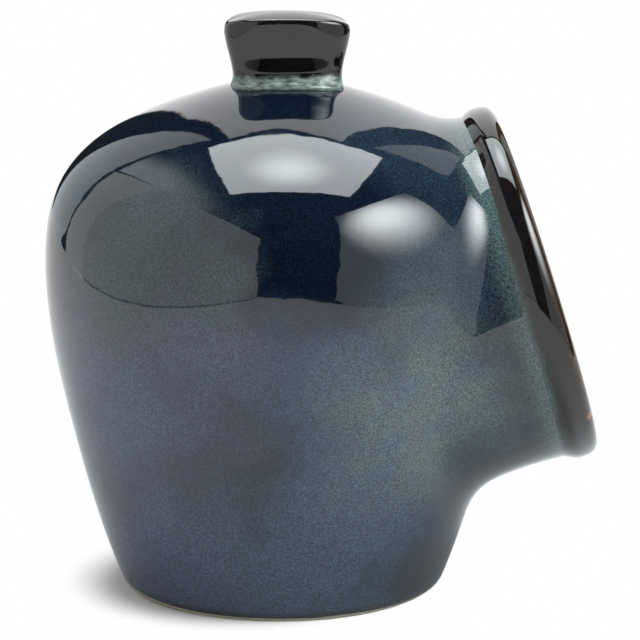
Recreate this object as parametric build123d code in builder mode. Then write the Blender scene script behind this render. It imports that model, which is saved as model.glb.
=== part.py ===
# Salt pig: an egg-shaped stoneware pot with a wide slanted mouth and a tab knob.
# Millimetres, +Z up, origin on the table under the centre of the foot, mouth towards +X.
import os
from math import cos, radians, sin

from build123d import *

# Bulb: the levels of its outer curve, with rises measured from the girth, and its wall
foot_radius = 40.6
foot_flare = 23.0
belly_swell = 3.3
girth_radius = 60.0
girth_height = 84.0
shoulder_inset = 3.6
shoulder_rise = 19.4
cap_radius = 22.0
cap_drop = 4.0
crown_rise = 46.0
wall = 5.0
floor_thickness = 6.5
floor_round = 9.0

# Foot ring
foot_edge_round = 1.8
foot_ring_width = 7.0
foot_recess = 1.2
recess_round = 0.5

# Mouth: how far its centre stands out past the girth and lies below it, and its axis above level
mouth_overhang = 4.6
mouth_drop = 6.9
mouth_tilt = 16.8
bore_radius = 40.0

# Neck, with its depths measured back along the mouth's axis from the mouth's centre
neck_wall = 4.8
neck_waist_depth = 11.0
neck_root_depth = 46.0
neck_root_swell = 3.2
neck_blend = 13.0
neck_blend_margin = 2.0
neck_spare = 12.0
throat_round = 3.0

# Rolled lip, measured the same way: seam with the neck, crest, front and tuck into the bore
lip_seam_depth = 5.4
lip_seam_step = 0.3
lip_crest_depth = 0.6
lip_roll = 1.9
lip_front = 2.8
lip_front_inset = 3.2
lip_tuck_depth = 1.6

# Knob: an oval tab set a little towards the mouth, by half-lengths along X and half-depths
# along Y at four levels, given as heights above the crown, and the two curves of its top
knob_shift = 1.5
knob_root = 3.9
knob_root_half_length = 15.3
knob_root_half_depth = 8.5
knob_waist = 2.5
knob_waist_half_length = 13.8
knob_waist_half_depth = 6.5
knob_flare = 7.8
knob_flare_half_length = 14.9
knob_flare_half_depth = 6.3
knob_rise = 18.0
knob_top_half_length = 14.8
knob_top_half_depth = 6.7
knob_crown_radius = 75.0
knob_pillow_radius = 30.0
knob_edge_round = 1.0

crown_height = girth_height + crown_rise
tilt = radians(mouth_tilt)
mouth_centre = (girth_radius + mouth_overhang, 0, girth_height - mouth_drop)
mouth_direction = (cos(tilt), 0, sin(tilt))
mouth_axis = Axis(mouth_centre, mouth_direction)
mouth_face = Plane(origin=mouth_centre, z_dir=mouth_direction)
# In this plane x runs out along the mouth's axis and y runs up across it
mouth_plane = Plane(origin=mouth_centre, x_dir=mouth_direction, z_dir=(0, -1, 0))
neck_waist_radius = bore_radius + neck_wall
seam_radius = neck_waist_radius + lip_seam_step
# A neck that is nearly as wide as the bulb leaves room for a tighter blend only
blend_radius = min(neck_blend, girth_radius - neck_waist_radius - neck_blend_margin)

# Half section of the bulb, drawn at the back so that its seam lies away from the mouth
with BuildSketch(Plane.XZ) as section:
    with BuildLine():
        side = Spline(
            (-foot_radius, 0),
            (-(foot_radius + girth_radius) / 2 - belly_swell, girth_height / 2),
            (-girth_radius, girth_height),
            (-girth_radius + shoulder_inset, girth_height + shoulder_rise),
            (-cap_radius, crown_height - cap_drop),
            (0, crown_height),
            tangents=((-sin(radians(foot_flare)), cos(radians(foot_flare))), (1, 0)),
        )
        Line(side @ 1, (0, 0))
        Line((0, 0), side @ 0)
    make_face()


# A point of the lining: the outer curve drawn in by the wall
def lining_point(at):
    along = side % at
    return side @ at + Vector(along.Y, -along.X) * wall


with BuildSketch(Plane.XZ) as hollow:
    with BuildLine():
        lining = Spline(
            *[lining_point(eighth / 8) for eighth in range(9)],
            tangents=(side % 0, side % 1),
        )
        Line(lining @ 1, (0, 0))
        Line((0, 0), ((lining @ 0).X, 0))
        Line(((lining @ 0).X, 0), lining @ 0)
    make_face()
    with Locations((0, floor_thickness / 2)):
        Rectangle(2 * girth_radius, floor_thickness, mode=Mode.SUBTRACT)
    fillet(hollow.vertices().sort_by(Axis.Y)[:2].sort_by(Axis.X)[0], floor_round)

# Bulb and neck, cast in one: the neck is drawn long, blended in, then trimmed at the lip's seam
with BuildPart() as pot_body:
    add(section.sketch)
    revolve(axis=Axis.Z)
    with BuildSketch(mouth_plane):
        with BuildLine():
            throat = Spline(
                (-neck_root_depth, neck_waist_radius + neck_root_swell),
                (-neck_waist_depth, neck_waist_radius),
                (-lip_seam_depth, seam_radius),
                (neck_spare, seam_radius + lip_seam_step),
                tangents=((neck_root_depth, -2 * neck_root_swell), (1, 0)),
            )
            Line(throat @ 1, (neck_spare, 0))
            Line((neck_spare, 0), (-neck_root_depth, 0))
            Line((-neck_root_depth, 0), throat @ 0)
        make_face()
    revolve(axis=mouth_axis)
    roots = pot_body.edges().filter_by(GeomType.BSPLINE).filter_by(lambda e: e.is_closed)
    fillet(roots, blend_radius)
    with BuildSketch(mouth_face.offset(-lip_seam_depth)):
        Circle(girth_radius)
    extrude(amount=girth_radius, mode=Mode.SUBTRACT)
    add(hollow.sketch)
    revolve(axis=Axis.Z, mode=Mode.SUBTRACT)
    with BuildSketch(mouth_face.offset(-neck_root_depth)):
        Circle(bore_radius)
    extrude(amount=neck_root_depth, mode=Mode.SUBTRACT)
    rings = pot_body.edges().filter_by(GeomType.BSPLINE).filter_by(lambda e: e.is_closed)
    fillet(rings.sort_by(SortBy.LENGTH)[0], throat_round)
    fillet(pot_body.edges().group_by(Axis.Z)[0], foot_edge_round)
    with BuildSketch(Plane.XY):
        Circle(foot_radius - foot_edge_round - foot_ring_width)
    extrude(amount=foot_recess, mode=Mode.SUBTRACT)
    fillet(pot_body.edges().group_by(Axis.Z)[0].sort_by(SortBy.LENGTH)[0], recess_round)

# Rolled lip: a turned ring butted to the end of the neck
with BuildPart() as mouth_rim:
    with BuildSketch(mouth_plane):
        with BuildLine():
            roll = Spline(
                (-lip_seam_depth, seam_radius),
                (-lip_crest_depth, neck_waist_radius + lip_roll),
                (lip_front, bore_radius + lip_front_inset),
                (-lip_tuck_depth, bore_radius),
                tangents=((1, 0.4), (1, 0), (0, -1), (-1, 0)),
            )
            Line(roll @ 1, (-lip_seam_depth, bore_radius))
            Line((-lip_seam_depth, bore_radius), roll @ 0)
        make_face()
    revolve(axis=mouth_axis)

# Knob: a flared oval tab, its root cut to the curve of the crown it is luted to. Its top is
# trimmed to a pillow by a large ring, which is drawn below its axis to keep its seam off the knob
with BuildPart() as knob:
    for level, half_length, half_depth in (
        (-knob_root, knob_root_half_length, knob_root_half_depth),
        (knob_waist, knob_waist_half_length, knob_waist_half_depth),
        (knob_flare, knob_flare_half_length, knob_flare_half_depth),
        (knob_rise, knob_top_half_length, knob_top_half_depth),
    ):
        with BuildSketch(Plane((knob_shift, 0, crown_height + level))):
            Ellipse(half_length, half_depth)
    loft()
    pillow_axis = Axis((knob_shift, 0, crown_height + knob_rise - knob_crown_radius), (0, 1, 0))
    with BuildSketch(Plane(pillow_axis.position, x_dir=(0, 1, 0), z_dir=(1, 0, 0))):
        with Locations((0, knob_pillow_radius - knob_crown_radius)):
            Circle(knob_pillow_radius)
    revolve(axis=pillow_axis, mode=Mode.INTERSECT)
    fillet(knob.edges().sort_by(Axis.Z)[-1], knob_edge_round)
    add(section.sketch)
    revolve(axis=Axis.Z, mode=Mode.SUBTRACT)

os.makedirs("parts", exist_ok=True)
pot_body.part.label = "pot_body"
export_step(pot_body.part, "parts/pot_body.step")
mouth_rim.part.label = "mouth_rim"
export_step(mouth_rim.part, "parts/mouth_rim.step")
knob.part.label = "knob"
export_step(knob.part, "parts/knob.step")
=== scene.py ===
# %% [markdown]
# A glazed stoneware salt pig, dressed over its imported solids.
# The solids give the main shapes and the size. This lesson gives the pot its skin of glaze, which is as
# smooth as glass and so needs an even mesh, and then its colours, the bare clay of the foot, and a small
# studio whose panels the glaze mirrors.

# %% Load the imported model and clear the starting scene
from math import cos, degrees, pi, radians, sin

import bpy
from mathutils import Matrix, Vector


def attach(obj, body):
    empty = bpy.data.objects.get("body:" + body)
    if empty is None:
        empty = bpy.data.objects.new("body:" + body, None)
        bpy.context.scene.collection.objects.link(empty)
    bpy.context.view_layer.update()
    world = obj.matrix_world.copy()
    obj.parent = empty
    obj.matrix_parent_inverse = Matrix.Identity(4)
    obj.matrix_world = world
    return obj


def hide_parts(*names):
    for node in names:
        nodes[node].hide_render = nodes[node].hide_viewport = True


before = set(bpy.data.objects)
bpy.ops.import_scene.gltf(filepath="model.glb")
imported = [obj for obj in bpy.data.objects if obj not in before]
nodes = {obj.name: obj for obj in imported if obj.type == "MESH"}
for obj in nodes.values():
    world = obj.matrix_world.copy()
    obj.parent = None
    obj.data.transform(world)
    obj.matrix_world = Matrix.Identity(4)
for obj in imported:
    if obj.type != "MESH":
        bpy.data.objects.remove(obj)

for starter in ("Cube", "Light", "Camera"):
    if starter in bpy.data.objects:
        bpy.data.objects.remove(bpy.data.objects[starter])
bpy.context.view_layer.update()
scene = bpy.context.scene
scene.view_settings.view_transform = "Standard"
MM = 0.001

# %% [markdown]
# The camera stands a little above the pot and well back, with a long lens, so that the curves are hardly
# foreshortened. It is also turned a few degrees about the pot, until the mouth is seen exactly edge-on.
# The same turn carries the table and the lights later on, because the glaze mirrors them into this view.

# %% Camera
turn_about_pot = radians(-4.6)
view_turn = Matrix.Rotation(turn_about_pot, 3, "Z")
eye = view_turn @ Vector((9.7, -1280.0, 403.0)) * MM
aim = view_turn @ Vector((9.7, 0.0, 67.9)) * MM
focal_pixels = 5205.0
picture_pixels = 640.0
sensor_mm = 36.0

camera_data = bpy.data.cameras.new("camera")
camera_data.sensor_width = sensor_mm
camera_data.lens = focal_pixels / picture_pixels * sensor_mm
camera = bpy.data.objects.new("camera", camera_data)
camera.location = eye
camera.rotation_euler = (aim - eye).to_track_quat("-Z", "Y").to_euler()
scene.collection.objects.link(camera)
scene.camera = camera
print("lens in mm:", round(camera_data.lens, 1))

# %% [markdown]
# A thrown pot has no facets, and a mirror glaze would show them at once. The triangles of a solid are
# long and uneven, and subdividing would keep them so. Instead the solid is copied, its loose triangles
# are merged, and a Remesh modifier lays even little squares over it. A Smooth modifier then relaxes the
# squares, as flowing glaze does.

# %% Helpers for an even skin
merge_within = 0.001 * MM
relax_strength = 0.5


def merged_copy(name, source):
    """A copy of a solid's mesh with its loose triangles merged, active and alone in the selection."""
    bpy.ops.object.select_all(action="DESELECT")
    copy = bpy.data.objects.new(name, nodes[source].data.copy())
    scene.collection.objects.link(copy)
    copy.select_set(True)
    bpy.context.view_layer.objects.active = copy
    copy.data.materials.clear()
    bpy.ops.object.mode_set(mode="EDIT")
    bpy.ops.mesh.select_all(action="SELECT")
    bpy.ops.mesh.remove_doubles(threshold=merge_within)
    bpy.ops.mesh.select_all(action="DESELECT")
    bpy.ops.mesh.select_mode(type="FACE")
    bpy.ops.object.mode_set(mode="OBJECT")
    return copy


def lay_squares(skin, square):
    """Covers the active object with even squares."""
    remesh = skin.modifiers.new("squares", "REMESH")
    remesh.mode = "VOXEL"
    remesh.voxel_size = square
    remesh.use_smooth_shade = True
    bpy.ops.object.modifier_apply(modifier=remesh.name)


def relax(skin, passes, group=""):
    """Relaxes the active object's skin, all over or by a vertex group's weights."""
    smooth = skin.modifiers.new("relax", "SMOOTH")
    smooth.factor = relax_strength
    smooth.iterations = passes
    smooth.vertex_group = group
    bpy.ops.object.modifier_apply(modifier=smooth.name)


print("solids to cover:", sorted(nodes))

# %% [markdown]
# The bulb and its neck are one piece of clay. The neck ends in a flat face under the lip, and relaxing
# would round that face's edge. So the face is first extruded along the mouth's axis, which leaves spare
# length to round and cut away.

# %% Spare length on the neck
mouth_centre = Vector((64.6, 0.0, 77.1)) * MM
mouth_tilt = radians(16.8)
mouth_out = Vector((cos(mouth_tilt), 0.0, sin(mouth_tilt)))
seam_behind_mouth = 5.4 * MM
spare_neck = 12 * MM
flat_within = 0.01 * MM
facing_out = 0.99

pot = merged_copy("glazed_pot", "pot_body")
for face in pot.data.polygons:
    forward = (face.center - mouth_centre).dot(mouth_out)
    on_seam = abs(forward + seam_behind_mouth) < flat_within
    face.select = on_seam and face.normal.dot(mouth_out) > facing_out
print("triangles of the neck's end:", sum(face.select for face in pot.data.polygons))
bpy.ops.object.mode_set(mode="EDIT")
bpy.ops.mesh.extrude_region_move(TRANSFORM_OT_translate={"value": mouth_out * spare_neck})
bpy.ops.object.mode_set(mode="OBJECT")

# %% [markdown]
# The skin is relaxed a little all over, and then much more above the foot, which keeps its tighter curve: a
# vertex group holds the foot back. Bisect cuts the spare length off at the seam and closes the cut.

# %% Skin of the pot
pot_square = 1.2 * MM
first_passes = 8
more_passes = 45
foot_zone = (2 * MM, 8 * MM)
sharp_edge = radians(50)


def ramp_up(value, start, end):
    """0 before start, 1 after end and smooth between."""
    share = min(max((value - start) / (end - start), 0.0), 1.0)
    return share * share * (3 - 2 * share)


lay_squares(pot, pot_square)
relax(pot, first_passes)
above_foot = pot.vertex_groups.new(name="above_foot")
for vertex in pot.data.vertices:
    above_foot.add([vertex.index], ramp_up(vertex.co.z, *foot_zone), "REPLACE")
relax(pot, more_passes, "above_foot")
pot.vertex_groups.clear()
bpy.ops.object.mode_set(mode="EDIT")
bpy.ops.mesh.select_all(action="SELECT")
bpy.ops.mesh.bisect(plane_co=mouth_centre - mouth_out * seam_behind_mouth, plane_no=mouth_out,
                    use_fill=True, clear_outer=True)
bpy.ops.object.mode_set(mode="OBJECT")
bpy.ops.object.shade_smooth_by_angle(angle=sharp_edge)
print("pot squares:", len(pot.data.polygons))

# %% [markdown]
# The lip is a roll of clay turned over the end of the neck. A torus would be too regular for it, so its
# section is drawn: a Bezier circle is pulled to shape by its points and handles and made a mesh. Both its
# edges run out thin over the neck, outside and inside, so that the two pieces meet in a soft crease and
# not in a gap.

# %% Section of the lip
lip_section = (
    # millimetres forward of the mouth's centre and out from its axis, then the same for the next handle
    ((-9.4, 44.6), (1.3, 0.05)),
    ((-6.0, 45.2), (0.8, 0.33)),
    ((-2.9, 46.5), (0.9, 0.12)),
    ((0.5, 46.25), (1.2, -0.36)),
    ((2.7, 43.1), (0.0, -1.7)),
    ((-1.6, 39.95), (-2.4, 0.0)),
    ((-7.6, 40.35), (-0.4, 1.4)),
)
section_steps = 10
mouth_up = Vector((-mouth_out.z, 0.0, mouth_out.x))


def from_mouth(forward, out):
    """A point above the mouth's axis, from millimetres along the axis and out from it."""
    return mouth_centre + (mouth_out * forward + mouth_up * out) * MM


bpy.ops.object.select_all(action="DESELECT")
bpy.ops.curve.primitive_bezier_circle_add(radius=MM)
lip = bpy.context.object
lip.name = "rolled_lip"
lip.data.resolution_u = section_steps
spline = lip.data.splines[0]
spline.bezier_points.add(len(lip_section) - len(spline.bezier_points))
for point, ((forward, out), (handle_forward, handle_out)) in zip(spline.bezier_points, lip_section):
    point.handle_left_type = point.handle_right_type = "FREE"
    point.co = from_mouth(forward, out)
    point.handle_right = from_mouth(forward + handle_forward, out + handle_out)
    point.handle_left = from_mouth(forward - handle_forward, out - handle_out)
bpy.ops.object.convert(target="MESH")
lip = bpy.context.object
print("points in the lip's section:", len(lip.data.vertices))

# %% [markdown]
# A potter turns the lip on the wheel, and Spin does the same: it takes the section once round the mouth's
# axis. Where the last step meets the first, the doubled points are merged.

# %% Lip spun round the mouth
lip_steps = 240
close_within = 0.01 * MM

bpy.ops.object.mode_set(mode="EDIT")
bpy.ops.mesh.select_all(action="SELECT")
bpy.ops.mesh.spin(steps=lip_steps, angle=2 * pi, center=mouth_centre, axis=mouth_out)
bpy.ops.mesh.select_all(action="SELECT")
bpy.ops.mesh.remove_doubles(threshold=close_within)
bpy.ops.mesh.normals_make_consistent(inside=False)
bpy.ops.object.mode_set(mode="OBJECT")
bpy.ops.object.shade_smooth()
print("lip squares:", len(lip.data.polygons))

# %% [markdown]
# The knob is a flat tab, pulled from a slab of clay: its face is flatter than an oval's, and it leans out
# towards the top so that fingers hold it. It could be built from a box, but the oval solid already has the
# size and the root. So that is covered with fine squares, and its points are moved: out towards the
# corners, in at the waist, and down at the top, most at the ends.

# %% Knob
knob_centre = 1.5 * MM
knob_half_length = 14.9 * MM
knob_half_depth = 6.7 * MM
crown = 130 * MM
corner_power = 2.6
waist_share = 0.8
knob_square = 0.3 * MM
knob_passes = 2
root_zone = (crown, crown + 3 * MM)
waist_zone = (crown + 2 * MM, crown + 8 * MM)
top_zone = (crown + 10 * MM, crown + 17 * MM)
corner_drop = 1.1 * MM
top_slope = 0.35 * MM


def corner_stretch(along, deep):
    """How many times further out a point lies once an oval is filled out towards its corners."""
    filled = (abs(along) ** corner_power + abs(deep) ** corner_power) ** (1 / corner_power)
    return (along ** 2 + deep ** 2) ** 0.5 / filled if filled else 1.0


knob = merged_copy("tab_knob", "knob")
lay_squares(knob, knob_square)
relax(knob, knob_passes)
for vertex in knob.data.vertices:
    along = (vertex.co.x - knob_centre) / knob_half_length
    deep = vertex.co.y / knob_half_depth
    stretch = corner_stretch(along, deep)
    above_root = ramp_up(vertex.co.z, *root_zone)
    waist = (1 - waist_share) * max(1 - along ** 2, 0.0) * (1 - ramp_up(vertex.co.z, *waist_zone))
    drop = corner_drop * along ** 4 + top_slope * (1 + along)
    vertex.co.z -= drop * ramp_up(vertex.co.z, *top_zone)
    vertex.co.x = knob_centre + along * stretch * knob_half_length
    vertex.co.y = deep * stretch * knob_half_depth * (1 - above_root * waist)
print("knob squares:", len(knob.data.polygons))

# %% [markdown]
# Where the knob meets the crown, runny glaze gathers into a soft bead. A torus would be too even, so a
# Bezier circle is laid round the knob's root with its points set down on the crown, and a round bevel
# thickens it, here more and there less.

# %% Pooled glaze
bead_radius = 1.3 * MM
bead_points = 24
bead_half_length = 12.9 * MM
bead_half_depth = 6.6 * MM
bead_lift = 0.1 * MM
bead_round_steps = 5
bead_length_steps = 6
crown_fall = 8.26  # metres of fall for each square metre of distance from the crown's middle
bead_waves = ((3, 0.1, 0.6), (7, 0.05, 0.0))  # how many go round, the share of the radius, the start

bpy.ops.object.select_all(action="DESELECT")
bpy.ops.curve.primitive_bezier_circle_add(radius=MM)
pool = bpy.context.object
pool.name = "pooled_glaze"
pool.data.bevel_depth = bead_radius
pool.data.bevel_resolution = bead_round_steps
pool.data.resolution_u = bead_length_steps
spline = pool.data.splines[0]
spline.bezier_points.add(bead_points - len(spline.bezier_points))
for number, point in enumerate(spline.bezier_points):
    turn = 2 * pi * number / bead_points
    along, deep = cos(turn), sin(turn)
    stretch = corner_stretch(along, deep)
    x = knob_centre + along * stretch * bead_half_length
    y = deep * stretch * bead_half_depth
    point.co = (x, y, crown - crown_fall * (x * x + y * y) + bead_lift)
    point.radius = 1.0 + sum(share * sin(count * turn + start) for count, share, start in bead_waves)
    point.handle_left_type = point.handle_right_type = "AUTO"
bpy.ops.object.convert(target="MESH")
pool = bpy.context.object
bpy.ops.object.mode_set(mode="EDIT")
bpy.ops.mesh.select_all(action="SELECT")
bpy.ops.mesh.remove_doubles(threshold=close_within)
bpy.ops.mesh.normals_make_consistent(inside=False)
bpy.ops.object.mode_set(mode="OBJECT")
bpy.ops.object.shade_smooth()
print("pool squares:", len(pool.data.polygons))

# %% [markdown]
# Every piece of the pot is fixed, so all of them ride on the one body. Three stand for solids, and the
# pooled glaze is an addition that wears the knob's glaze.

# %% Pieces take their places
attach(pool, "root")
for piece, solid, slot in ((pot, "pot_body", "body_glaze"), (lip, "mouth_rim", "rim_glaze"),
                           (knob, "knob", "knob_glaze")):
    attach(piece, "root")
    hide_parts(solid)
    print(piece.name, "stands for", solid)

# %% [markdown]
# Three helpers serve every material. One turns an sRGB hex colour into the linear numbers that shaders
# use. One adds a node, sets it and links its inputs in one go. The last starts a material with no nodes.

# %% Helpers for materials
def colour(hex_text):
    """Linear RGBA from an sRGB hex colour."""
    def linear(byte):
        value = byte / 255
        return value / 12.92 if value <= 0.04045 else ((value + 0.055) / 1.055) ** 2.4
    return tuple(linear(int(hex_text[start:start + 2], 16)) for start in (1, 3, 5)) + (1.0,)


def node(tree, kind, inputs=None, **settings):
    """Adds a node, with settings by name and inputs by socket: a value or another node's output."""
    made = tree.nodes.new(kind)
    for name, value in settings.items():
        setattr(made, name, value)
    for socket, value in (inputs or {}).items():
        if isinstance(value, bpy.types.NodeSocket):
            tree.links.new(value, made.inputs[socket])
        else:
            made.inputs[socket].default_value = value
    return made


def empty_material(name):
    """A material with no nodes yet, and its tree."""
    material = bpy.data.materials.new(name)
    material.use_nodes = True
    material.node_tree.nodes.clear()
    return material, material.node_tree


# The sockets that a Mix node has for colours: how much of the upper one, the two colours, and the result
SHARE, UNDER, OVER, MIXED = 0, 6, 7, 2
print("mid grey is", [round(part, 3) for part in colour("#808080")])

# %% [markdown]
# Three patterns serve the glazes. A bloom is a soft ball round a point on the pot. Grains are a noise, as
# fine or as coarse as asked. The third tells how far a place lies along the mouth's axis, for whatever
# follows the lip. All three work on places in the pot itself, so nothing has to be unwrapped.

# %% Helpers for patterns
bloom_core = 0.25
noise_span = (0.3, 0.7)


def bloom(tree, place, centre, reach):
    """A soft ball of 1 in its middle and 0 beyond its reach, with centre and reach in millimetres."""
    away = node(tree, "ShaderNodeVectorMath", {0: place, 1: Vector(centre) * MM}, operation="DISTANCE")
    ball = node(tree, "ShaderNodeMapRange", {
        "Value": away.outputs["Value"], "From Min": bloom_core * reach * MM, "From Max": reach * MM,
        "To Min": 1.0, "To Max": 0.0}, interpolation_type="SMOOTHSTEP")
    return ball.outputs["Result"]


def grains(tree, place, size, low, high):
    """A noise with grains of a size, spread from low to high."""
    noise = node(tree, "ShaderNodeTexNoise", {"Vector": place, "Scale": 1 / size, "Detail": 2.0})
    spread = node(tree, "ShaderNodeMapRange", {
        "Value": noise.outputs["Fac"], "From Min": noise_span[0], "From Max": noise_span[1],
        "To Min": low, "To Max": high})
    return spread.outputs["Result"]


def forward_of_mouth(tree, place):
    """How far a place lies forward of the mouth's centre along its axis."""
    along = node(tree, "ShaderNodeVectorMath", {0: place, 1: mouth_out}, operation="DOT_PRODUCT")
    return node(tree, "ShaderNodeMath", {0: along.outputs["Value"], 1: mouth_centre.dot(mouth_out)},
                operation="SUBTRACT").outputs["Value"]


print("mouth's centre along its axis, in mm:", round(mouth_centre.dot(mouth_out) / MM, 1))

# %% [markdown]
# The body wears a reactive glaze: glossy, nearly black where it is thin, and clouded with slate blue and
# teal where crystals grew in the thick places. A painted picture would have to be wrapped round the pot and
# would show a seam, so the clouds are made by nodes. First, noise pushes every place about, so that
# whatever is drawn with the pushed places gets ragged edges.

# %% Places pushed about
# Reactive glaze on stoneware: a mirror coat over dark clouded colour with a salt-and-pepper grain
swirl_size = 22 * MM
swirl_push = 35 * MM
noise_middle = (0.5, 0.5, 0.5)

body_glaze, tree = empty_material("reactive_glaze_on_stoneware")
place = node(tree, "ShaderNodeTexCoord").outputs["Object"]
swirl = node(tree, "ShaderNodeTexNoise", {"Vector": place, "Scale": 1 / swirl_size, "Detail": 3.0})
shift = node(tree, "ShaderNodeVectorMath", {0: swirl.outputs["Color"], 1: noise_middle},
             operation="SUBTRACT").outputs["Vector"]
ragged = node(tree, "ShaderNodeVectorMath", {0: shift, 1: (swirl_push, swirl_push, swirl_push), 2: place},
              operation="MULTIPLY_ADD").outputs["Vector"]
print("nodes that push places about:", len(tree.nodes))

# %% [markdown]
# The glaze pools and thins by chance, so each colour gets a few blooms of its own. Their balls are joined by
# taking the greater at each place, and every colour is laid over the ones before it.

# %% Blooms of colour
cloud_size = 9 * MM

olive = node(tree, "ShaderNodeMix", {
    SHARE: grains(tree, place, cloud_size, 0.0, 1.0), UNDER: colour("#405361"), OVER: colour("#4e5d57")},
    data_type="RGBA").outputs[MIXED]
base = colour("#0a1523")
for shade, blooms in (
    # each colour with the middles of its blooms and their reaches, in millimetres
    (colour("#2a3d54"), (((5, -59, 65), 28), ((8, -56, 44), 22), ((46, -40, 24), 16))),
    (colour("#1d2a36"), (((30, -28, 116), 28),)),
    (colour("#2a3843"), (((36, -48, 88), 26), ((48, -38, 42), 22))),
    (colour("#3e455b"), (((-46, -38, 58), 46), ((-34, -34, 15), 40), ((-50, 34, 50), 46),
                         ((12, 54, 30), 42), ((-24, -54, 76), 24))),
    (colour("#354349"), (((-42, -40, 96), 36), ((-18, -57, 94), 18), ((34, 44, 96), 40))),
    (colour("#384a5c"), (((4, -48, 16), 42), ((20, -45, 28), 28), ((-20, 46, 22), 46))),
    (olive, (((32, -50, 58), 37), ((-34, 46, 66), 46))),
):
    mask = 0.0
    for centre, reach in blooms:
        mask = node(tree, "ShaderNodeMath", {0: mask, 1: bloom(tree, ragged, centre, reach)},
                    operation="MAXIMUM").outputs["Value"]
    base = node(tree, "ShaderNodeMix", {SHARE: mask, UNDER: base, OVER: shade},
                data_type="RGBA").outputs[MIXED]
print("nodes with the blooms:", len(tree.nodes))

# %% [markdown]
# Near the lip the glaze turns green. All over, crystals too small to see one by one give it a grain like salt
# and pepper. Painting dots would take a mask, so every colour is multiplied by a fine noise, which darkens
# some places and lightens others.

# %% Green near the lip, and grain
green_from = (-13.5 * MM, -6.5 * MM)
# The real grain is finer than this picture can show, so it is drawn as coarse as it needs to be seen
grain_size = 0.42 * MM
grain_spread = (0.25, 1.75)

near_lip = node(tree, "ShaderNodeMapRange", {
    "Value": forward_of_mouth(tree, place), "From Min": green_from[0], "From Max": green_from[1]},
    interpolation_type="SMOOTHSTEP").outputs["Result"]
base = node(tree, "ShaderNodeMix", {SHARE: near_lip, UNDER: base, OVER: colour("#4a5b5a")},
            data_type="RGBA").outputs[MIXED]
pepper = grains(tree, place, grain_size, *grain_spread)
base = node(tree, "ShaderNodeMix", {SHARE: 1.0, UNDER: base, OVER: pepper}, data_type="RGBA",
            blend_type="MULTIPLY").outputs[MIXED]
print("nodes with the grain:", len(tree.nodes))

# %% [markdown]
# A potter wipes the foot clean before firing, or the glaze would stick to the kiln shelf. So a thin line of
# bare clay shows at the very bottom, dry and pale, and the glaze ends above it in a dark hem. It is the same
# clay all through, so one material changes with the height, at a level that is a little uneven.

# %% Dark hem and bare clay
bare_to = (1.3 * MM, 1.6 * MM)
hem_to = (1.6 * MM, 3.4 * MM)
uneven = 1.2 * MM
clay_grain = 0.4 * MM

height = node(tree, "ShaderNodeSeparateXYZ", {"Vector": place}).outputs["Z"]
level = node(tree, "ShaderNodeMath", {0: shift, 1: uneven, 2: height},
             operation="MULTIPLY_ADD").outputs["Value"]
above_hem = node(tree, "ShaderNodeMapRange", {
    "Value": level, "From Min": hem_to[0], "From Max": hem_to[1]}).outputs["Result"]
base = node(tree, "ShaderNodeMix", {SHARE: above_hem, UNDER: colour("#0b131b"), OVER: base},
            data_type="RGBA").outputs[MIXED]
clay = node(tree, "ShaderNodeMix", {
    SHARE: grains(tree, place, clay_grain, 0.0, 1.0), UNDER: colour("#a89f8c"), OVER: colour("#c9c3b2")},
    data_type="RGBA").outputs[MIXED]
bare = node(tree, "ShaderNodeMapRange", {
    "Value": level, "From Min": bare_to[0], "From Max": bare_to[1], "To Min": 1.0,
    "To Max": 0.0}).outputs["Result"]
base = node(tree, "ShaderNodeMix", {SHARE: bare, UNDER: base, OVER: clay},
            data_type="RGBA").outputs[MIXED]
print("nodes with the foot:", len(tree.nodes))

# %% [markdown]
# Glaze is a kind of glass and mirrors the room, while bare clay is dry and matt, so the roughness follows the
# foot's line. A faint ripple bends the mirrored edges, as on every glaze that flowed. It is too shallow for
# the outline, so a Bump node is enough for it.

# %% Surface of the body
glaze_ior = 1.65
glaze_roughness = 0.04
clay_roughness = 0.8
ripple_size = 5 * MM
ripple_depth = 0.02 * MM

roughness = node(tree, "ShaderNodeMapRange", {
    "Value": bare, "To Min": glaze_roughness, "To Max": clay_roughness}).outputs["Result"]
ripple = node(tree, "ShaderNodeTexNoise", {"Vector": place, "Scale": 1 / ripple_size, "Detail": 1.0})
surface = node(tree, "ShaderNodeBump", {"Distance": ripple_depth, "Height": ripple.outputs["Fac"]})
shader = node(tree, "ShaderNodeBsdfPrincipled", {
    "Base Color": base, "Roughness": roughness, "IOR": glaze_ior, "Normal": surface.outputs["Normal"]})
node(tree, "ShaderNodeOutputMaterial", {"Surface": shader.outputs["BSDF"]})
pot.data.materials.append(body_glaze)
print("body glaze nodes:", len(tree.nodes))

# %% [markdown]
# On the lip the same glaze runs thin, and its iron shows. The green of the neck ends in the crease, the back
# of the roll is brown-black, its crest blue-black, and the front edge breaks to brown. Colours painted on
# the mesh would only be as fine as its squares, so a colour ramp follows the roll from back to front.

# %% Colours across the lip
# Iron-rich glaze breaking over an edge: mirror gloss, blue-black turning brown where it thins
ramp_start, ramp_end = -8.0, 4.4
wobble_size = 9 * MM
wobble_push = 2.4 * MM

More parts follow.
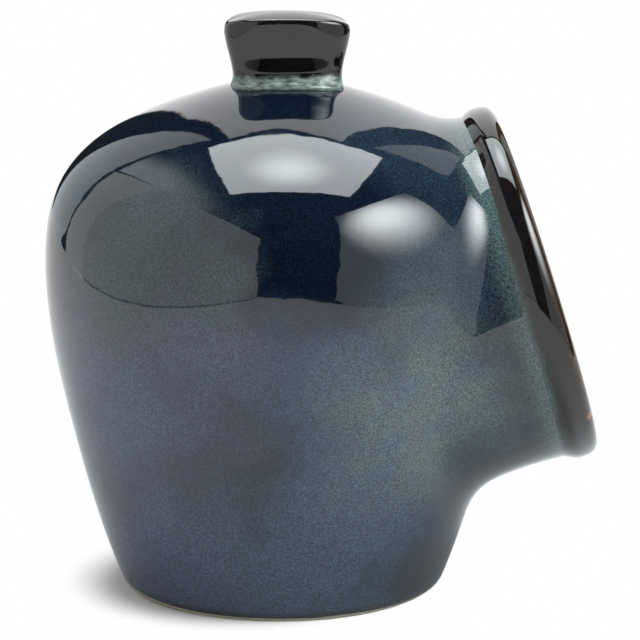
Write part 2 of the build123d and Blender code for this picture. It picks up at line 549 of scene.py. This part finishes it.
lip_glaze, tree = empty_material("glaze_breaking_brown")
place = node(tree, "ShaderNodeTexCoord").outputs["Object"]
wobble = node(tree, "ShaderNodeTexNoise", {"Vector": place, "Scale": 1 / wobble_size, "Detail": 3.0})
forward = node(tree, "ShaderNodeMath", {
    0: wobble.outputs["Fac"], 1: wobble_push, 2: forward_of_mouth(tree, place)},
    operation="MULTIPLY_ADD").outputs["Value"]
share = node(tree, "ShaderNodeMapRange", {
    "Value": forward, "From Min": ramp_start * MM, "From Max": ramp_end * MM}).outputs["Result"]
ramp = node(tree, "ShaderNodeValToRGB", {"Fac": share})
stops = ramp.color_ramp.elements
for forward_mm, shade in ((-5.8, "#4a5b5a"), (-3.8, "#1c1b17"), (-2.6, "#151210"), (-1.4, "#0c1119"),
                          (1.6, "#0b0a0b"), (3.0, "#32251b"), (4.0, "#49372a")):
    stop = stops.new((forward_mm - ramp_start) / (ramp_end - ramp_start))
    stop.color = colour(shade)
stops.remove(stops[0])
stops.remove(stops[-1])
print("lip glaze stops:", len(stops))

# %% [markdown]
# Brown streaks run up and down the lip. Noise gives them when its places are squeezed in that direction, so
# that it changes slowly there. One small orange-brown spot on the lower lip is a small bloom.

# %% Grain, streaks and an orange-brown spot on the lip
streak_size = 1.6 * MM
streak_squeeze = 0.88
streak_share = 0.45
# A small orange-brown spot on the lower lip: its middle and its reach, in millimetres
orange_brown_spot = ((74.2, -35.8, 51.3), 1.8)
lip_roughness = 0.05

pepper = grains(tree, place, grain_size, *grain_spread)
base = node(tree, "ShaderNodeMix", {SHARE: 1.0, UNDER: ramp.outputs["Color"], OVER: pepper},
            data_type="RGBA", blend_type="MULTIPLY").outputs[MIXED]
upward = node(tree, "ShaderNodeVectorMath", {0: place, 1: mouth_up}, operation="DOT_PRODUCT")
squeeze = node(tree, "ShaderNodeVectorMath", {
    0: mouth_up * -streak_squeeze, "Scale": upward.outputs["Value"]}, operation="SCALE")
along_lip = node(tree, "ShaderNodeVectorMath", {0: place, 1: squeeze.outputs["Vector"]}, operation="ADD")
streaks = grains(tree, along_lip.outputs["Vector"], streak_size, 0.0, streak_share)
base = node(tree, "ShaderNodeMix", {SHARE: streaks, UNDER: base, OVER: colour("#241a12")},
            data_type="RGBA").outputs[MIXED]
orange_brown_mark = bloom(tree, place, *orange_brown_spot)
base = node(tree, "ShaderNodeMix", {SHARE: orange_brown_mark, UNDER: base, OVER: colour("#8a5a34")},
            data_type="RGBA").outputs[MIXED]
shader = node(tree, "ShaderNodeBsdfPrincipled", {
    "Base Color": base, "Roughness": lip_roughness, "IOR": glaze_ior})
node(tree, "ShaderNodeOutputMaterial", {"Surface": shader.outputs["BSDF"]})
lip.data.materials.append(lip_glaze)
print("lip glaze nodes:", len(tree.nodes))

# %% [markdown]
# The knob is dipped last and comes out nearly black. At its foot the glaze is thick again and turns a
# milky green, on the knob's root as well as in the bead. Both wear one material, so the milky zone runs from
# one to the other by its height, and noise makes its upper edge drip.

# %% Milky zone of the knob
# Black iron glaze: deep and glassy, with the faintest brown; the thick pool scatters light and looks milky
drip_size = 2.2 * MM
drip_reach = -2.2 * MM
milky_to = (crown + 0.2 * MM, crown + 1.8 * MM)

knob_glaze, tree = empty_material("black_iron_glaze")
place = node(tree, "ShaderNodeTexCoord").outputs["Object"]
height = node(tree, "ShaderNodeSeparateXYZ", {"Vector": place}).outputs["Z"]
drip = node(tree, "ShaderNodeTexNoise", {"Vector": place, "Scale": 1 / drip_size, "Detail": 2.0})
level = node(tree, "ShaderNodeMath", {0: drip.outputs["Fac"], 1: drip_reach, 2: height},
             operation="MULTIPLY_ADD").outputs["Value"]
milky = node(tree, "ShaderNodeMapRange", {
    "Value": level, "From Min": milky_to[0], "From Max": milky_to[1], "To Min": 1.0, "To Max": 0.0},
    interpolation_type="SMOOTHSTEP").outputs["Result"]
print("nodes of the milky zone:", len(tree.nodes))

# %% [markdown]
# The black clouds softly into brown. The green lies in level streaks, as the glaze ran together round the
# root, and is a little less glossy than the black.

# %% Glaze of the knob
black_cloud = 6 * MM
pool_streak = 0.8 * MM
pool_stretch = (0.35, 0.35, 1.0)
pool_roughness = 0.2

black = node(tree, "ShaderNodeMix", {
    SHARE: grains(tree, place, black_cloud, 0.0, 1.0), UNDER: colour("#0b0a0b"), OVER: colour("#1a1614")},
    data_type="RGBA").outputs[MIXED]
stretched = node(tree, "ShaderNodeVectorMath", {0: place, 1: pool_stretch}, operation="MULTIPLY")
streaks = grains(tree, stretched.outputs["Vector"], pool_streak, 0.0, 1.0)
green = node(tree, "ShaderNodeMix", {SHARE: streaks, UNDER: colour("#35443f"), OVER: colour("#92a49a")},
             data_type="RGBA").outputs[MIXED]
base = node(tree, "ShaderNodeMix", {SHARE: milky, UNDER: black, OVER: green},
            data_type="RGBA").outputs[MIXED]
roughness = node(tree, "ShaderNodeMapRange", {
    "Value": milky, "To Min": glaze_roughness, "To Max": pool_roughness}).outputs["Result"]
shader = node(tree, "ShaderNodeBsdfPrincipled", {
    "Base Color": base, "Roughness": roughness, "IOR": glaze_ior})
node(tree, "ShaderNodeOutputMaterial", {"Surface": shader.outputs["BSDF"]})
for piece in (knob, pool):
    piece.data.materials.append(knob_glaze)
print("knob glaze nodes:", len(tree.nodes))

# %% [markdown]
# A glossy pot is lit by what it mirrors, and the table is the first of these things. A sheet as wide as the
# room would show in the glaze beyond the cards, so the table is cut to the space between them.

# %% Table
table_corners = ((-0.143, -0.8), (0.123, -0.8), (0.645, 0.6), (-0.27, 0.6), (-2.88, 2.35), (-0.60, 0.53))

table_mesh = bpy.data.meshes.new("table")
table_mesh.from_pydata([view_turn @ Vector((*corner, 0.0)) for corner in table_corners], [],
                       [range(len(table_corners))])
table = bpy.data.objects.new("table", table_mesh)
scene.collection.objects.link(table)
print("table corners:", len(table.data.vertices))

# %% [markdown]
# The table is covered with white paper. The Light Path node tells rays apart: for the camera the paper turns
# plain white just beyond the shadow at the foot, and for the mirror of the glaze further out.

# %% Paper on the table
# Matt white paper: it takes the pot's soft shadow, and further out it is plain white
shadow_centre = (-12 * MM, -2 * MM, 0.0)
shadow_fade = (28 * MM, 45.5 * MM)
mirror_fade = (120 * MM, 260 * MM)

paper, tree = empty_material("white_table_paper")
place = node(tree, "ShaderNodeTexCoord").outputs["Object"]
rays = node(tree, "ShaderNodeLightPath")
beside = node(tree, "ShaderNodeVectorMath", {0: place, 1: shadow_centre}, operation="DISTANCE")
clear = node(tree, "ShaderNodeMapRange", {
    "Value": beside.outputs["Value"], "From Min": shadow_fade[0], "From Max": shadow_fade[1]},
    interpolation_type="SMOOTHSTEP")
away = node(tree, "ShaderNodeVectorMath", {0: place}, operation="LENGTH")
far = node(tree, "ShaderNodeMapRange", {
    "Value": away.outputs["Value"], "From Min": mirror_fade[0], "From Max": mirror_fade[1]},
    interpolation_type="SMOOTHSTEP")
seen = node(tree, "ShaderNodeMath", {0: rays.outputs["Is Camera Ray"], 1: clear.outputs["Result"]},
            operation="MULTIPLY")
mirrored = node(tree, "ShaderNodeMath", {0: rays.outputs["Is Glossy Ray"], 1: far.outputs["Result"]},
                operation="MULTIPLY")
plain = node(tree, "ShaderNodeMath", {0: seen.outputs["Value"], 1: mirrored.outputs["Value"]},
             operation="MAXIMUM")
lit = node(tree, "ShaderNodeBsdfDiffuse", {"Color": colour("#dadada")})
white = node(tree, "ShaderNodeEmission", {"Color": (1, 1, 1, 1), "Strength": 1.0})
mix = node(tree, "ShaderNodeMixShader", {
    0: plain.outputs["Value"], 1: lit.outputs["BSDF"], 2: white.outputs["Emission"]})
node(tree, "ShaderNodeOutputMaterial", {"Surface": mix.outputs["Shader"]})
table.data.materials.append(paper)
print("paper nodes:", len(tree.nodes))

# %% [markdown]
# The light in a studio comes from soft panels and white cards, and the glaze shows the outline of each. Each
# is an area lamp, laid out by one corner and two sides, so that an edge can be moved until its image in the
# glaze sits where it should.

# %% Helper for panels
def panel(name, corner, across, up, radiance, tint=(1.0, 1.0, 1.0)):
    """A soft panel from one corner and two sides in metres; it shines against the direction across x up."""
    corner, across, up = (view_turn @ Vector(vector) for vector in (corner, across, up))
    data = bpy.data.lights.new(name, "AREA")
    data.shape = "RECTANGLE"
    data.size = across.length
    data.size_y = up.length
    data.energy = radiance * across.length * up.length * pi
    data.color = tint
    lamp = bpy.data.objects.new(name, data)
    lamp.location = corner + (across + up) / 2
    axes = Matrix((across.normalized(), up.normalized(), across.cross(up).normalized()))
    lamp.rotation_euler = axes.transposed().to_euler()
    scene.collection.objects.link(lamp)
    return lamp


print("panels turn with the camera, degrees:", round(degrees(turn_about_pot), 1))

# %% [markdown]
# A card that a lamp shines on is brightest near the lamp, so a panel may fade from a bright spot. Another may
# be cut off along a slanting line. An area lamp can do both, because its nodes may change its strength over
# its face: Parametric gives the place on the face, by shares of its two sides.

# %% Helpers for uneven panels
trim_blur = 0.005


def empty_lamp_tree(lamp):
    """The lamp's node tree with nothing in it."""
    lamp.data.use_nodes = True
    lamp.data.node_tree.nodes.clear()
    return lamp.data.node_tree


def fade(lamp, bright_spot, reach, hold, rest):
    """Fades a panel from a spot, given by shares of its sides, to a rest at its reach along each side."""
    tree = empty_lamp_tree(lamp)
    spread = (lamp.data.size / reach[0], lamp.data.size_y / reach[1], 0.0)
    place = node(tree, "ShaderNodeNewGeometry").outputs["Parametric"]
    offset = node(tree, "ShaderNodeVectorMath", {0: place, 1: (*bright_spot, 0.0)}, operation="SUBTRACT")
    scaled = node(tree, "ShaderNodeVectorMath", {0: offset.outputs["Vector"], 1: spread},
                  operation="MULTIPLY")
    away = node(tree, "ShaderNodeVectorMath", {0: scaled.outputs["Vector"]}, operation="LENGTH")
    share = node(tree, "ShaderNodeMapRange", {
        "Value": away.outputs["Value"], "From Min": hold, "From Max": 1.0, "To Min": 1.0, "To Max": rest},
        interpolation_type="SMOOTHSTEP")
    shine = node(tree, "ShaderNodeEmission", {"Strength": share.outputs["Result"]})
    node(tree, "ShaderNodeOutputLight", {"Surface": shine.outputs["Emission"]})


def trim(lamp, start, end):
    """Keeps of a panel what lies left of the way between two places, given by shares of its sides."""
    tree = empty_lamp_tree(lamp)
    way = Vector(end) - Vector(start)
    left = Vector((-way.y, way.x)).normalized()
    edge = left.dot(Vector(start))
    place = node(tree, "ShaderNodeNewGeometry").outputs["Parametric"]
    along = node(tree, "ShaderNodeVectorMath", {0: place, 1: (*left, 0.0)}, operation="DOT_PRODUCT")
    share = node(tree, "ShaderNodeMapRange", {
        "Value": along.outputs["Value"], "From Min": edge - trim_blur, "From Max": edge + trim_blur})
    shine = node(tree, "ShaderNodeEmission", {"Strength": share.outputs["Result"]})
    node(tree, "ShaderNodeOutputLight", {"Surface": shine.outputs["Emission"]})


print("blur of a trimmed edge, as a share of the side:", trim_blur)

# %% [markdown]
# The main light is a soft panel overhead, brightest in its middle and slightly cool, as daylight lamps are.

# %% Overhead panel
cool = (0.92, 0.98, 1.0)

overhead = panel("overhead_panel", corner=(-0.265, -0.09, 1.0), across=(0.64, 0, 0), up=(0, 0.57, -0.12),
                 radiance=9.6, tint=cool)
fade(overhead, bright_spot=(0.46, 0.45), reach=(0.22, 0.24), hold=0.05, rest=0.5)
print("watts overhead:", round(overhead.data.energy, 2))

# %% [markdown]
# White cards stand to the left, to the right and behind, and the dark gaps between them draw the pot's
# curves. The nearest card on the left stands a slit above the table, and in the glaze that slit is a thin
# dark line between the two. Above the cards the light fades out softly.

# %% Cards on the left
left_height = 0.685
slit = 0.005

panel("left_card", corner=(-0.45, 0.12, slit), across=(0.30, -0.90, 0), up=(0, 0, left_height - slit),
      radiance=0.8)
panel("left_card_behind", corner=(-0.542, 0.363, 0.0), across=(0.092, -0.243, 0), up=(0, 0, left_height),
      radiance=1.0)
wing = panel("left_card_wing", corner=(-0.684, 0.737, 0.0), across=(0.142, -0.374, 0),
             up=(0, 0, left_height), radiance=1.0)
trim(wing, start=(0.0, 1.15), end=(0.8, 0.58))
above = panel("left_card_above", corner=(-0.62, 0.63, left_height), across=(0.47, -1.41, 0),
              up=(0.20, 0.066, 0.30), radiance=1.15, tint=cool)
fade(above, bright_spot=(0.125, 0.0), reach=(0.95, 0.27), hold=0.3, rest=0.0)
print("height of the left cards in mm:", round(left_height / MM))

# %% [markdown]
# The card on the right is lit from close by and makes the bright spots on the shoulder and the neck. It is
# strong in a small spot and faint elsewhere, and a lamp with a fade gives both in one.

# %% Card on the right
right = panel("right_card", corner=(0.234, -0.502, 0.012), across=(0.168, 0.449, -0.105),
              up=(0.047, 0.126, 0.75), radiance=12.0, tint=cool)
fade(right, bright_spot=(0.53, 0.70), reach=(0.28, 0.36), hold=0.05, rest=0.055)
print("watts on the right:", round(right.data.energy, 2))

# %% [markdown]
# The pot's edges mirror what stands behind it, at a glancing angle. So a panel and two wide cards close the
# studio there.

# %% Cards behind
cooler = (0.88, 0.96, 1.0)
back_height = 0.93

behind = panel("back_panel", corner=(0.24, 0.60, 0.0), across=(-0.455, 0, 0), up=(0, 0, 1.0),
               radiance=1.45)
trim(behind, start=(0.74, 0.03), end=(1.0, 0.5))
panel("back_left_card", corner=(-0.27, 0.60, 0.0), across=(-2.61, 1.75, 0), up=(0, 0, back_height),
      radiance=0.95, tint=cooler)
panel("back_right_card", corner=(1.63, 1.03, 0.0), across=(-1.28, -0.42, 0), up=(0, 0, back_height),
      radiance=0.66, tint=cooler)

# %% [markdown]
# The room beyond the panels is almost dark, but the camera sees plain white behind the pot.

# %% Room
room_strength = 0.02

world = scene.world or bpy.data.worlds.new("room")
scene.world = world
world.use_nodes = True
tree = world.node_tree
tree.nodes.clear()
rays = node(tree, "ShaderNodeLightPath")
room = node(tree, "ShaderNodeBackground", {"Color": (1, 1, 1, 1), "Strength": room_strength})
white = node(tree, "ShaderNodeBackground", {"Color": (1, 1, 1, 1), "Strength": 1.0})
mix = node(tree, "ShaderNodeMixShader", {
    0: rays.outputs["Is Camera Ray"], 1: room.outputs["Background"], 2: white.outputs["Background"]})
node(tree, "ShaderNodeOutputWorld", {"Surface": mix.outputs["Shader"]})
print("room nodes:", len(tree.nodes))
